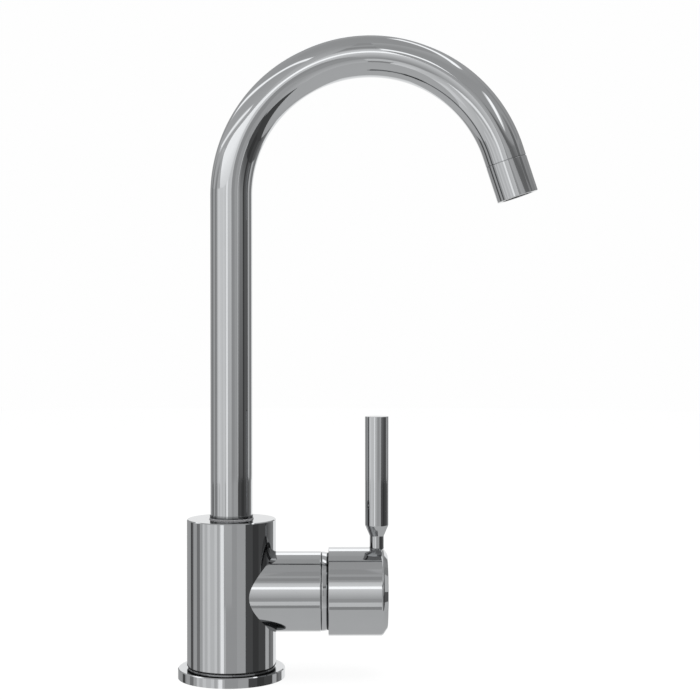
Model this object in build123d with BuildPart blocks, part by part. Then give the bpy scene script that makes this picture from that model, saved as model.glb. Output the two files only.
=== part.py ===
"""Three way filtered water tap: a round deck body, a side lever with a ceramic cartridge and a
swivelling gooseneck spout that carries a second, filtered water line. All sizes are millimetres.

The origin is the centre of the base's underside. +Z is up, and +X points to the lever and the
spout's mouth. Every waterway, seal and cartridge piece is placed from the sizes below.
"""

from build123d import *
from math import cos, radians, sin, sqrt
import os

os.makedirs("parts", exist_ok=True)

# Fits: radial play, and distances between pieces
seat_play = 0.05          # between fixed round pieces
run_play = 0.06           # between a bore and the piece that turns in it
clear = 0.3               # between pieces that move past each other
small_chamfer = 0.3
seal_sides = 8            # sides of a round seal's section

# Base: flange, shadow gap and seals
flange_overhang = 5.0     # beyond the body
flange_h = 5.5
flange_chamfer = 0.5
foot_inset = 2.2          # the body's foot, which passes through the flange, is this much narrower
gap_h = 1.1               # shadow gap between flange and body
flange_ring_play = 0.02   # above and below the seal in the gap
lip_h = 0.45              # low rim on the flange that keeps this seal in place
lip_w = 0.5
gasket_inset_in = 2.2     # from the foot
gasket_inset_out = 1.5    # from the flange's edge
gasket_t = 1.5

# Body
body_r = 25.0
body_h = 82.2
body_chamfer = 0.5
stud_r = 3.4              # tapping size of the M8 fixing stud
stud_depth = 16.0
inlet_count = 3
inlet_pitch_r = 12.0
inlet_r = 4.5             # tapping size of the M10 x 1 hose tails
inlet_depth = 12.0

# Side boss and cartridge chamber, along the boss axis
boss_z = 47.8
boss_r = 22.4
boss_reach = 50.7
boss_fillet = 0.9
chamber_r = 18.0
chamber_depth = 33.7
mouth_r = 20.05
mouth_depth = 7.7

# Waterways
port_pitch = 8.5          # cartridge ports, from the boss axis
mixed_port_r = 2.5
filter_port_r = 2.0
riser_x = 7.2             # mixed water riser to the spout socket
tail_x = -6.0             # where the hot and cold risers stand

# Cartridge
cartridge_r = 17.5
cartridge_wall = 2.2
base_t = 5.0
base_lip = 2.0            # how far the base enters the housing
seal_proud = 0.3
seal_t = 1.5
seal_w = 1.2
pin_r = 1.4
pin_pitch = 10.0
pin_length = 3.0
base_ring_r = 0.9
disc_t = 3.0
fixed_disc_r = 15.2
moving_disc_r = 11.6
carrier_t = 3.0
hub_r = 6.5
hub_h = 7.1
neck_r = 13.0
neck_proud = 1.3          # beyond the boss
sleeve_r = 10.5
sleeve_flange_t = 2.2
shoulder_t = 1.7
nut_play = 0.2            # round the neck, and under the dome cover
nut_slot_w = 4.0
nut_slot_depth = 2.4
nut_slot_count = 4

# Lever pivot
pivot_inset = 2.7         # the pivot's distance inside the boss's end
pivot_pin_r = 1.5
arm = 12.0                # from the pivot to the ball that moves the disc
ball_r = 3.0
arm_r = 2.2
bar_w = 6.0
bar_h = 8.0
bar_reach = 26.0          # beyond the pivot
lift_angle = 15.0

# Dome cover, a sphere round the pivot
dome_gap = 0.54           # between the cap's bore and the sphere, at the pivot
dome_wall = 1.2
dome_reach = 12.5         # beyond the pivot
dome_hole_r = 10.0
dome_spigot = 1.7
dome_foot_fillet = 0.5

# Handle cap
cap_r = 24.7
cap_wall = 1.7
cap_gap = 3.8             # from the boss to the cap's rim
cap_l = 33.2
cap_bevel_x = 2.8
cap_bevel_r = 4.0
cap_bevel_fillet = 2.0
cap_rim_fillet = 0.4
cap_cavity = 11.5         # depth of the wide bore that clears the dome
cap_core = 11.0           # depth of the cored ring behind it
cap_skin = 3.2            # wall outside the cored ring
cap_hub_r = 8.0
cap_screw_at = 16.5       # from the cap's rim
cap_screw_r = 2.5
cap_screw_l = 4.6
key_r = 1.5
key_depth = 2.4
plug_r = 2.75
plug_t = 2.5

# Lever stick
stick_at = 27.2           # from the cap's rim
stick_r = 6.65
stick_neck_r = 4.0
stick_thread_r = 3.0
stick_thread_l = 14.0
stick_seat = 0.5          # depth of the spot face that the neck stands on
stick_neck_h = 7.0
stick_taper_h = 6.1
stick_taper_fillet = 1.2
stick_h = 61.2
stick_chamfer = 0.3

# Spout socket and swivel spigot
socket_r = 10.0
socket_depth = 22.5
socket_chamfer = 0.3
spigot_bore_r = 6.5
spigot_tail = 12.0
ring_groove_floor = 8.1
ring_groove_w = 2.2
ring_section_r = 0.9
ring_heights = (3.7, 8.2)
catch_z = 15.2            # the grub screw's groove, above the socket floor
catch_floor = 8.4
catch_half_w = 2.4
catch_screw_r = 2.5
catch_tip_r = 1.9
catch_recess = 7.1        # from the body's back to the screw
collar_r = 12.1
collar_h = 1.85
slip_r = 12.4
slip_t = 0.5
slip_gap = 0.05

# Spout tube and filtered line
tube_r = 11.75
tube_wall = 1.2
bend_z = 270.2
bend_radius = 78.3
bend_angle = 161.6
tube_tail = 5.5
hose_r = 4.0
hose_bore_r = 2.6
nipple_r = 3.6
nipple_bore_r = 1.5
nipple_flange_r = 4.4
nipple_flange_t = 1.5
nipple_h = 10.0
nipple_thread_r = 2.5
nipple_thread_l = 5.0
nipple_ring_r = 0.5
nipple_ring_z = 6.0
ferrule_wall = 1.35
ferrule_lap = 8.5
ferrule_web = 1.0
ferrule_cup = 8.0

# Spout mouth, along the mouth's own axis from the end of the bend
adapter_start = 0.5
hose_inset = 0.5          # from the adapter's end to the hose's end
seam_w = 0.4
seam_r = 11.4
adapter_bore_r = 8.6
adapter_thread_r = 10.2
adapter_thread_l = 8.0
barb_r = 2.4
barb_bore_r = 1.5
barb_l = 3.0
adapter_hub_r = 4.2
adapter_web_t = 3.5
spoke_w = 1.6
spoke_count = 3
spoke_sink = 0.3          # how far a spoke runs into the hub and the ring
nozzle_r = 3.0
nozzle_bore_r = 2.0
aerator_r = 11.8
aerator_l = 20.7
aerator_wall = 2.0
aerator_lip_r = 9.0
aerator_lip_t = 1.5
aerator_chamfer = 0.4
washer_r_in = 7.6
washer_t = 1.5
insert_l = 8.6
insert_hole_r = 1.1
insert_pitch_r = 6.4
insert_hole_count = 12
screen_t = 0.5
screen_slot_w = 0.9
screen_slot_l = 4.6
screen_slot_count = 16

# Places that follow from the sizes
foot_r = body_r - foot_inset
flange_r = body_r + flange_overhang
gasket_r_in = foot_r + gasket_inset_in
gasket_r_out = flange_r - gasket_inset_out
flange_ring_r = gap_h / 2 - flange_ring_play
flange_ring_at = foot_r + seat_play + flange_ring_r
lip_r_in = flange_ring_at + flange_ring_r + seat_play
body_bottom = flange_h + gap_h
body_top = body_bottom + body_h
socket_floor = body_top - socket_depth
chamber_floor = boss_reach - chamber_depth
chamber_shoulder = boss_reach - mouth_depth
pivot_x = boss_reach - pivot_inset
base_x = chamber_floor + seal_proud
housing_x = base_x + base_t - base_lip
fixed_disc_x = base_x + base_t
moving_disc_x = fixed_disc_x + disc_t + run_play
carrier_x = moving_disc_x + disc_t
hub_x = carrier_x + carrier_t
hub_end = hub_x + hub_h
cavity_r = cartridge_r - cartridge_wall
shoulder_x = chamber_shoulder - shoulder_t
sleeve_x = shoulder_x - run_play - sleeve_flange_t
neck_end = boss_reach + neck_proud
nut_r_in = neck_r + nut_play
nut_end = boss_reach - dome_spigot - nut_play
ball_x = pivot_x - arm
bar_end = pivot_x + bar_reach
dome_r = cap_r - cap_wall - dome_gap
dome_end = pivot_x + dome_reach
cap_start = boss_reach + cap_gap
cap_end = cap_start + cap_l
cap_cavity_end = cap_start + cap_cavity
cap_core_end = cap_cavity_end + cap_core
cap_core_r = cap_r - cap_skin
cap_screw_x = cap_start + cap_screw_at
stick_x = cap_start + stick_at
cap_top = boss_z + cap_r
collar_z = body_top + slip_gap + slip_t
tube_foot = collar_z + collar_h
nipple_top = socket_floor + nipple_h
ferrule_r = nipple_r + run_play + ferrule_wall
ferrule_z = nipple_top - ferrule_lap
hose_z = nipple_top + 2 * clear + ferrule_web

boss_axis = Axis((0, 0, boss_z), (1, 0, 0))
boss_section = Plane(origin=(0, 0, boss_z), x_dir=(1, 0, 0), z_dir=(0, -1, 0))

turn = radians(bend_angle)
mouth_dir = Vector(sin(turn), 0, cos(turn))
mouth_origin = Vector(bend_radius * (1 - cos(turn)), 0, bend_z + bend_radius * sin(turn))
mouth_axis = Axis(mouth_origin, mouth_dir)
mouth_section = Plane(origin=mouth_origin, x_dir=mouth_dir, z_dir=(0, 1, 0))
seam_at = tube_tail
thread_at = seam_at + seam_w
washer_at = thread_at + adapter_thread_l
insert_at = washer_at + washer_t
screen_at = insert_at + insert_l
mouth_at = thread_at + aerator_l


def across_boss(x):
    """Plane square to the boss axis, its x along +Y and its y along +Z."""
    return Plane(origin=(x, 0, boss_z), x_dir=(0, 1, 0), z_dir=(1, 0, 0))


def across_mouth(distance):
    """Plane square to the mouth axis, at a distance from the end of the bend."""
    return Plane(origin=mouth_origin + mouth_dir * distance, x_dir=(0, 1, 0), z_dir=mouth_dir)


def half_section(plane, *points):
    """Face of a turned piece: its half section, as points along and away from the axis."""
    with BuildSketch(plane) as face:
        with BuildLine():
            Polyline(*points, close=True)
        make_face()
    return face.sketch


def drill(start, outward, radius, depth):
    """Round blind hole from the start point, against the outward direction."""
    with Locations(Plane(origin=start, z_dir=outward)):
        Hole(radius, depth)


def seal_ring(section, axis, place, section_r):
    """Round seal: a many-sided section at a place in the half section, turned round the axis."""
    with BuildSketch(section) as face:
        with Locations(place):
            RegularPolygon(section_r, seal_sides, major_radius=False, rotation=180 / seal_sides)
    revolve(face.sketch, axis=axis)


def spout_path(start, end):
    """Centre line of the spout from a height on the riser to a distance along the mouth axis."""
    with BuildLine(Plane.XZ) as line:
        rise = Line((0, start), (0, bend_z))
        bend = JernArc(start=rise @ 1, tangent=rise % 1, radius=bend_radius, arc_size=-bend_angle)
        Line(bend @ 1, bend @ 1 + (bend % 1) * end)
    return line.line


def dome_radius(x, sphere_r):
    """Radius, about the boss axis, of a sphere round the lever's pivot."""
    return sqrt(sphere_r**2 - (x - pivot_x) ** 2)


# --- Base ------------------------------------------------------------------------------------

with BuildPart() as base_flange:
    with BuildSketch():
        Circle(flange_r)
        Circle(foot_r + seat_play, mode=Mode.SUBTRACT)
    extrude(amount=flange_h)
    chamfer(base_flange.faces().sort_by(Axis.Z)[-1].edges().sort_by(SortBy.RADIUS)[-1], flange_chamfer)
    with BuildSketch(Plane.XY.offset(flange_h)):
        Circle(lip_r_in + lip_w)
        Circle(lip_r_in, mode=Mode.SUBTRACT)
    extrude(amount=lip_h)
    with BuildSketch():
        Circle(gasket_r_out + seat_play)
        Circle(gasket_r_in - seat_play, mode=Mode.SUBTRACT)
    extrude(amount=gasket_t + seat_play, mode=Mode.SUBTRACT)
base_flange.part.label = "base_flange"

with BuildPart() as deck_gasket:
    with BuildSketch():
        Circle(gasket_r_out)
        Circle(gasket_r_in, mode=Mode.SUBTRACT)
    extrude(amount=gasket_t)
deck_gasket.part.label = "deck_gasket"

with BuildPart() as flange_o_ring:
    seal_ring(Plane.XZ, Axis.Z, (flange_ring_at, flange_h + gap_h / 2), flange_ring_r)
flange_o_ring.part.label = "flange_o_ring"

# --- Body with its waterways -----------------------------------------------------------------

ports = {
    "hot": (-port_pitch, 0, mixed_port_r),
    "cold": (port_pitch, 0, mixed_port_r),
    "mixed": (0, port_pitch, mixed_port_r),
    "filtered_in": (0, -port_pitch, filter_port_r),
    "filtered_out": (0, 0, filter_port_r),
}
pin_places = ((-pin_pitch, -pin_pitch), (pin_pitch, -pin_pitch))

with BuildPart() as main_body:
    Cylinder(foot_r, body_bottom, align=(Align.CENTER, Align.CENTER, Align.MIN))
    with Locations((0, 0, body_bottom)):
        Cylinder(body_r, body_h, align=(Align.CENTER, Align.CENTER, Align.MIN))
    rims = main_body.edges().filter_by(GeomType.CIRCLE).filter_by(lambda e: e.radius == body_r)
    chamfer(rims, body_chamfer)
    with BuildSketch(across_boss(0)):
        Circle(boss_r)
    extrude(amount=boss_reach)
    fillet(main_body.faces().sort_by(Axis.X)[-1].edges(), boss_fillet)
    # cartridge chamber, open at the boss end
    revolve(
        half_section(
            boss_section,
            (chamber_floor, 0),
            (chamber_floor, chamber_r),
            (chamber_shoulder, chamber_r),
            (chamber_shoulder, mouth_r),
            (boss_reach, mouth_r),
            (boss_reach, 0),
        ),
        axis=boss_axis,
        mode=Mode.SUBTRACT,
    )
    # spout socket
    drill((0, 0, body_top), (0, 0, 1), socket_r, socket_depth)
    mouth_edge = main_body.edges().filter_by(GeomType.CIRCLE).filter_by(lambda e: e.radius == socket_r)
    chamfer(mouth_edge.sort_by(Axis.Z)[-1], socket_chamfer)
    # fixing stud and the three inlets in the underside
    drill((0, 0, 0), (0, 0, -1), stud_r, stud_depth)
    with PolarLocations(inlet_pitch_r, inlet_count):
        with Locations(Rotation(180, 0, 0)):
            Hole(inlet_r, inlet_depth)
    # filtered water: inlet riser at the front, outlet on the axis up to the nipple
    filtered_z = boss_z - port_pitch
    drill((inlet_pitch_r, 0, 0), (0, 0, -1), mixed_port_r, filtered_z + filter_port_r)
    inlet_cross = chamber_floor - inlet_pitch_r + filter_port_r
    drill((chamber_floor, 0, filtered_z), (1, 0, 0), filter_port_r, inlet_cross)
    drill((chamber_floor, 0, boss_z), (1, 0, 0), filter_port_r, chamber_floor)
    drill((0, 0, socket_floor), (0, 0, 1), filter_port_r, socket_floor - boss_z)
    drill((0, 0, socket_floor), (0, 0, 1), nipple_thread_r + seat_play, nipple_thread_l)
    # hot and cold risers behind the axis, and their ports into the chamber floor
    riser_y = inlet_pitch_r * sin(radians(360 / inlet_count))
    for side in (-1, 1):
        drill((tail_x, side * riser_y, 0), (0, 0, -1), mixed_port_r, boss_z + mixed_port_r)
        port = (chamber_floor, side * port_pitch, boss_z)
        drill(port, (1, 0, 0), mixed_port_r, chamber_floor - tail_x)
    # mixed water, up to the socket floor
    mixed_z = boss_z + port_pitch
    mixed_cross = chamber_floor - riser_x + mixed_port_r / 2
    drill((chamber_floor, 0, mixed_z), (1, 0, 0), mixed_port_r, mixed_cross)
    drill((riser_x, 0, socket_floor), (0, 0, 1), mixed_port_r, socket_floor - mixed_z)
    # cartridge locating pins and the spout's grub screw, from the back
    for y, z in pin_places:
        drill((chamber_floor, y, boss_z + z), (1, 0, 0), pin_r + seat_play, pin_length)
    drill((0, body_r, socket_floor + catch_z), (0, 1, 0), catch_screw_r + seat_play, body_r - spigot_bore_r)
main_body.part.label = "main_body"

screw_inner = catch_floor + clear
screw_step = socket_r + clear
screw_outer = body_r - catch_recess
with BuildPart() as spout_grub_screw:
    with BuildSketch(Plane(origin=(0, 0, socket_floor + catch_z), x_dir=(0, 1, 0), z_dir=(1, 0, 0))):
        with BuildLine():
            Polyline(
                (screw_inner, 0),
                (screw_inner, catch_tip_r),
                (screw_step, catch_tip_r),
                (screw_step, catch_screw_r),
                (screw_outer, catch_screw_r),
                (screw_outer, 0),
                close=True,
            )
        make_face()
    revolve(axis=Axis((0, 0, socket_floor + catch_z), (0, 1, 0)))
    back = spout_grub_screw.faces().sort_by(Axis.Y)[-1]
    with BuildSketch(back):
        RegularPolygon(key_r, 6)
    extrude(amount=-key_depth, mode=Mode.SUBTRACT)
spout_grub_screw.part.label = "spout_grub_screw"

# --- Cartridge -------------------------------------------------------------------------------

with BuildPart() as cartridge_base:
    revolve(
        half_section(
            boss_section,
            (base_x, 0),
            (base_x, cartridge_r),
            (housing_x, cartridge_r),
            (housing_x, cavity_r - seat_play),
            (fixed_disc_x, cavity_r - seat_play),
            (fixed_disc_x, 0),
        ),
        axis=boss_axis,
    )
    for y, z, port_r in ports.values():
        with Locations(across_boss(base_x)):
            with Locations((y, z)):
                Cylinder(port_r + seal_w + seat_play, 2 * (seal_t - seal_proud), mode=Mode.SUBTRACT)
                Cylinder(port_r, 3 * base_t, mode=Mode.SUBTRACT)
    groove_x = (base_x + housing_x) / 2
    base_ring_floor = chamber_r - 2 * (base_ring_r + seat_play)
    revolve(
        half_section(
            boss_section,
            (groove_x - base_ring_r - seat_play, base_ring_floor),
            (groove_x - base_ring_r - seat_play, chamber_r),
            (groove_x + base_ring_r + seat_play, chamber_r),
            (groove_x + base_ring_r + seat_play, base_ring_floor),
        ),
        axis=boss_axis,
        mode=Mode.SUBTRACT,
    )
    with BuildSketch(across_boss(base_x)):
        with Locations(*pin_places):
            Circle(pin_r)
    extrude(amount=-(pin_length - seal_proud))
cartridge_base.part.label = "cartridge_base"

with BuildPart() as cartridge_o_ring:
    seal_ring(boss_section, boss_axis, (groove_x, chamber_r - seat_play - base_ring_r), base_ring_r)
cartridge_o_ring.part.label = "cartridge_o_ring"

with BuildPart() as port_seals:
    for y, z, port_r in ports.values():
        with BuildSketch(across_boss(chamber_floor)):
            with Locations((y, z)):
                Circle(port_r + seal_w)
                Circle(port_r, mode=Mode.SUBTRACT)
        extrude(amount=seal_t)
port_seals.part.label = "port_seals"

with BuildPart() as fixed_disc:
    with BuildSketch(across_boss(fixed_disc_x)):
        Circle(fixed_disc_r)
        for y, z, port_r in ports.values():
            with Locations((y, z)):
                Circle(port_r, mode=Mode.SUBTRACT)
    extrude(amount=disc_t)
fixed_disc.part.label = "fixed_disc"

with BuildPart() as moving_disc:
    with BuildSketch(across_boss(moving_disc_x)):
        Circle(moving_disc_r)
    extrude(amount=disc_t)
    # mixing pocket over the mixed port, and a small pocket for the filtered water
    with BuildSketch(across_boss(moving_disc_x)):
        SlotArc(CenterArc((0, 0), port_pitch, 30, 120), 2 * mixed_port_r)
        with Locations((0, -port_pitch / 4)):
            SlotOverall(port_pitch, 2 * filter_port_r, rotation=90)
    extrude(amount=disc_t / 2, mode=Mode.SUBTRACT)
moving_disc.part.label = "moving_disc"

with BuildPart() as disc_carrier:
    revolve(
        half_section(
            boss_section,
            (carrier_x, 0),
            (carrier_x, moving_disc_r),
            (hub_x, moving_disc_r),
            (hub_x, hub_r),
            (hub_end, hub_r),
            (hub_end, ball_r + clear),
            (ball_x - ball_r - clear, ball_r + clear),
            (ball_x - ball_r - clear, 0),
        ),
        axis=boss_axis,
    )
disc_carrier.part.label = "disc_carrier"

with BuildPart() as cartridge_housing:
    revolve(
        half_section(
            boss_section,
            (housing_x, cavity_r),
            (housing_x, cartridge_r),
            (chamber_shoulder, cartridge_r),
            (chamber_shoulder, neck_r),
            (neck_end, neck_r),
            (neck_end, sleeve_r + run_play),
            (shoulder_x, sleeve_r + run_play),
            (shoulder_x, cavity_r),
        ),
        axis=boss_axis,
    )
cartridge_housing.part.label = "cartridge_housing"

# the slot leaves the bar its tilt: the arm side rises and the outer side dips
tilt = radians(lift_angle)
slot_top = (pivot_x - sleeve_x) * sin(tilt) + bar_h / 2 + clear
slot_bottom = (neck_end - pivot_x) * sin(tilt) + bar_h / 2 + clear
slot_w = bar_w + 2 * clear
with BuildPart() as turning_sleeve:
    revolve(
        half_section(
            boss_section,
            (sleeve_x, 0),
            (sleeve_x, cavity_r - run_play),
            (sleeve_x + sleeve_flange_t, cavity_r - run_play),
            (sleeve_x + sleeve_flange_t, sleeve_r),
            (neck_end, sleeve_r),
            (neck_end, 0),
        ),
        axis=boss_axis,
    )
    with BuildSketch(across_boss(sleeve_x)):
        with Locations((0, (slot_top - slot_bottom) / 2)):
            Rectangle(slot_w, slot_top + slot_bottom)
    extrude(amount=neck_end - sleeve_x, mode=Mode.SUBTRACT)
    with Locations(Plane(origin=(pivot_x, 0, boss_z), z_dir=(0, 1, 0))):
        Cylinder(pivot_pin_r + seat_play, 2 * sleeve_r, mode=Mode.SUBTRACT)
turning_sleeve.part.label = "turning_sleeve"

with BuildPart() as pivot_pin:
    with Locations(Plane(origin=(pivot_x, 0, boss_z), z_dir=(0, 1, 0))):
        Cylinder(pivot_pin_r, 2 * (sqrt(sleeve_r**2 - pivot_pin_r**2) - seat_play))
    chamfer(pivot_pin.edges().filter_by(GeomType.CIRCLE), small_chamfer)
pivot_pin.part.label = "pivot_pin"

with BuildPart() as cartridge_nut:
    with BuildSketch(across_boss(chamber_shoulder)):
        Circle(mouth_r - seat_play)
        Circle(nut_r_in, mode=Mode.SUBTRACT)
    extrude(amount=nut_end - chamber_shoulder)
    with BuildSketch(across_boss(nut_end)):
        with PolarLocations(mouth_r, nut_slot_count, start_angle=45):
            Rectangle(2 * (mouth_r - nut_r_in) - nut_slot_w, nut_slot_w)
    extrude(amount=-nut_slot_depth, mode=Mode.SUBTRACT)
cartridge_nut.part.label = "cartridge_nut"

dome_step = boss_reach + dome_wall
with BuildPart() as dome_cover:
    with BuildSketch(boss_section) as cover_profile:
        with BuildLine():
            seat_edge = (boss_reach, dome_radius(boss_reach, dome_r))
            top_edge = (dome_end, dome_radius(dome_end, dome_r))
            inner_r = dome_r - dome_wall
            under_top = (dome_end - dome_wall, dome_radius(dome_end - dome_wall, inner_r))
            under_step = (dome_step, dome_radius(dome_step, inner_r))
            Polyline(
                top_edge,
                (dome_end, dome_hole_r),
                (dome_end - dome_wall, dome_hole_r),
                under_top,
            )
            RadiusArc(under_top, under_step, -inner_r)
            Polyline(
                under_step,
                (dome_step, mouth_r - seat_play - dome_wall),
                (boss_reach - dome_spigot, mouth_r - seat_play - dome_wall),
                (boss_reach - dome_spigot, mouth_r - seat_play),
                (boss_reach, mouth_r - seat_play),
                seat_edge,
            )
            RadiusArc(seat_edge, top_edge, dome_r)
        make_face()
        fillet(cover_profile.vertices().sort_by(Axis.Y)[-1], dome_foot_fillet)
    revolve(axis=boss_axis)
dome_cover.part.label = "dome_cover"

# --- Lever -----------------------------------------------------------------------------------

with BuildPart() as lever_stem:
    with BuildSketch(across_boss(ball_x)):
        Circle(arm_r)
    extrude(amount=arm / 2)
    with Locations((ball_x, 0, boss_z)):
        Sphere(ball_r)
    with BuildSketch(across_boss(ball_x + arm / 2)):
        Rectangle(bar_w, bar_h)
    extrude(amount=bar_end - ball_x - arm / 2)
    with Locations(Plane(origin=(pivot_x, 0, boss_z), z_dir=(0, 1, 0))):
        Cylinder(pivot_pin_r + run_play, 2 * bar_w, mode=Mode.SUBTRACT)
lever_stem.part.label = "lever_stem"

with BuildPart() as handle_cap:
    with BuildSketch(boss_section) as cap_profile:
        with BuildLine():
            Polyline(
                (cap_start, cap_r - cap_wall),
                (cap_start, cap_r),
                (cap_end - cap_bevel_x, cap_r),
                (cap_end, cap_r - cap_bevel_r),
                (cap_end, 0),
                (cap_cavity_end, 0),
                (cap_cavity_end, cap_hub_r),
                (cap_core_end, cap_hub_r),
                (cap_core_end, cap_core_r),
                (cap_cavity_end, cap_core_r),
                (cap_cavity_end, cap_r - cap_wall),
                close=True,
            )
        make_face()
        end_corner = cap_profile.vertices().group_by(Axis.X)[-1].sort_by(Axis.Y)[-1]
        bevel_corner = cap_profile.vertices().group_by(Axis.X)[-2].sort_by(Axis.Y)[-1]
        fillet([end_corner, bevel_corner], cap_bevel_fillet)
        rim_corner = cap_profile.vertices().group_by(Axis.X)[0].sort_by(Axis.Y)[-1]
        fillet(rim_corner, cap_rim_fillet)
    revolve(axis=boss_axis)
    # socket for the bar, thread and seat for the stick, and the screw from below
    with BuildSketch(across_boss(cap_cavity_end)):
        Rectangle(bar_w + 2 * seat_play, bar_h + 2 * seat_play)
    extrude(amount=bar_end + seat_play - cap_cavity_end, mode=Mode.SUBTRACT)
    drill((stick_x, 0, cap_top), (0, 0, 1), stick_thread_r + seat_play, stick_thread_l + seat_play)
    drill((stick_x, 0, cap_top), (0, 0, 1), stick_neck_r + seat_play, stick_seat)
    drill((cap_screw_x, 0, boss_z - cap_r), (0, 0, -1), cap_screw_r + seat_play, cap_r - bar_h / 2)
    drill((cap_screw_x, 0, boss_z - cap_r), (0, 0, -1), plug_r + seat_play, cap_r - cap_core_r)
handle_cap.part.label = "handle_cap"

screw_tip_z = boss_z - bar_h / 2
with BuildPart() as handle_grub_screw:
    with BuildSketch(Plane.XY.offset(screw_tip_z - cap_screw_l)):
        with Locations((cap_screw_x, 0)):
            Circle(cap_screw_r)
    extrude(amount=cap_screw_l)
    with BuildSketch(Plane.XY.offset(screw_tip_z - cap_screw_l)):
        with Locations((cap_screw_x, 0)):
            RegularPolygon(key_r, 6)
    extrude(amount=key_depth, mode=Mode.SUBTRACT)
handle_grub_screw.part.label = "handle_grub_screw"

with BuildPart() as screw_plug:
    with BuildSketch(Plane.XY.offset(boss_z - cap_core_r - plug_t)):
        with Locations((cap_screw_x, 0)):
            Circle(plug_r)
    extrude(amount=plug_t)
    chamfer(screw_plug.faces().sort_by(Axis.Z)[0].edges(), small_chamfer)
screw_plug.part.label = "screw_plug"

neck_z = cap_top - stick_seat
taper_z = neck_z + stick_neck_h
grip_z = taper_z + stick_taper_h
stick_top = grip_z + stick_h
with BuildPart() as lever_stick:
    with BuildSketch(Plane(origin=(stick_x, 0, 0), x_dir=(1, 0, 0), z_dir=(0, -1, 0))) as stick_profile:
        with BuildLine():
            Polyline(
                (0, cap_top - stick_thread_l),
                (stick_thread_r, cap_top - stick_thread_l),
                (stick_thread_r, neck_z),
                (stick_neck_r - stick_chamfer, neck_z),
                (stick_neck_r, neck_z + stick_chamfer),
                (stick_neck_r, taper_z),
                (stick_r, grip_z),
                (stick_r, stick_top - stick_chamfer),
                (stick_r - stick_chamfer, stick_top),
                (0, stick_top),
                close=True,
            )
        make_face()
        levels = stick_profile.vertices().group_by(Axis.Y)
        fillet(levels[-4] + levels[-3], stick_taper_fillet)
    revolve(axis=Axis((stick_x, 0, 0), (0, 0, 1)))
lever_stick.part.label = "lever_stick"

# --- Spout swivel ----------------------------------------------------------------------------

spigot_r = socket_r - run_play
spigot_foot = socket_floor + clear
catch_at = socket_floor + catch_z
spigot_points = [(spigot_bore_r, spigot_foot), (spigot_r, spigot_foot)]
for height in ring_heights:
    low = socket_floor + height - ring_groove_w / 2
    high = low + ring_groove_w
    spigot_points += [(spigot_r, low), (ring_groove_floor, low), (ring_groove_floor, high), (spigot_r, high)]
spigot_points += [
    (spigot_r, catch_at - catch_half_w),
    (catch_floor, catch_at - catch_half_w),
    (catch_floor, catch_at + catch_half_w),
    (spigot_r, catch_at + catch_half_w),
    (spigot_r, collar_z),
    (collar_r, collar_z),
    (collar_r, tube_foot),
    (tube_r - tube_wall - seat_play, tube_foot),
    (tube_r - tube_wall - seat_play, tube_foot + spigot_tail),
    (spigot_bore_r, tube_foot + spigot_tail),
]
with BuildPart() as spout_spigot:
    revolve(half_section(Plane.XZ, *spigot_points), axis=Axis.Z)
spout_spigot.part.label = "spout_spigot"

with BuildPart() as spout_o_rings:
    for height in ring_heights:
        spigot_ring_r = ring_groove_floor + seat_play / 2 + ring_section_r
        seal_ring(Plane.XZ, Axis.Z, (spigot_ring_r, socket_floor + height), ring_section_r)
spout_o_rings.part.label = "spout_o_rings"

with BuildPart() as slip_ring:
    with BuildSketch(Plane.XY.offset(body_top + slip_gap)):
        Circle(slip_r)
        Circle(spigot_r + seat_play, mode=Mode.SUBTRACT)
    extrude(amount=slip_t)
slip_ring.part.label = "slip_ring"

with BuildPart() as spout_tube:
    with BuildSketch(Plane.XY.offset(tube_foot)):
        Circle(tube_r)
        Circle(tube_r - tube_wall, mode=Mode.SUBTRACT)
    sweep(path=spout_path(tube_foot, tube_tail))
spout_tube.part.label = "spout_tube"

# --- Filtered line ---------------------------------------------------------------------------

ring_z = socket_floor + nipple_ring_z
ring_floor = nipple_r - 2 * nipple_ring_r
with BuildPart() as filter_nipple:
    revolve(
        half_section(
            Plane.XZ,
            (nipple_bore_r, socket_floor - nipple_thread_l),
            (nipple_thread_r, socket_floor - nipple_thread_l),
            (nipple_thread_r, socket_floor),
            (nipple_flange_r, socket_floor),
            (nipple_flange_r, socket_floor + nipple_flange_t),
            (nipple_r, socket_floor + nipple_flange_t),
            (nipple_r, ring_z - nipple_ring_r - seat_play),
            (ring_floor, ring_z - nipple_ring_r - seat_play),
            (ring_floor, ring_z + nipple_ring_r + seat_play),
            (nipple_r, ring_z + nipple_ring_r + seat_play),
            (nipple_r, nipple_top),
            (nipple_bore_r, nipple_top),
        ),
        axis=Axis.Z,
    )
filter_nipple.part.label = "filter_nipple"

with BuildPart() as nipple_o_ring:
    seal_ring(Plane.XZ, Axis.Z, (ring_floor + seat_play / 2 + nipple_ring_r, ring_z), nipple_ring_r)
nipple_o_ring.part.label = "nipple_o_ring"

ferrule_web_z = hose_z - ferrule_web
with BuildPart() as hose_ferrule:
    revolve(
        half_section(
            Plane.XZ,
            (nipple_r + run_play, ferrule_z),
            (ferrule_r, ferrule_z),
            (ferrule_r, hose_z + ferrule_cup),
            (hose_r + seat_play, hose_z + ferrule_cup),
            (hose_r + seat_play, hose_z),
            (filter_port_r, hose_z),
            (filter_port_r, ferrule_web_z),
            (nipple_r + run_play, ferrule_web_z),
        ),
        axis=Axis.Z,
    )
hose_ferrule.part.label = "hose_ferrule"

hose_end = adapter_start + hose_inset
with BuildPart() as filtered_hose:
    with BuildSketch(Plane.XY.offset(hose_z)):
        Circle(hose_r)
        Circle(hose_bore_r, mode=Mode.SUBTRACT)
    sweep(path=spout_path(hose_z, hose_end))
filtered_hose.part.label = "filtered_hose"

# --- Spout mouth -----------------------------------------------------------------------------

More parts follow.
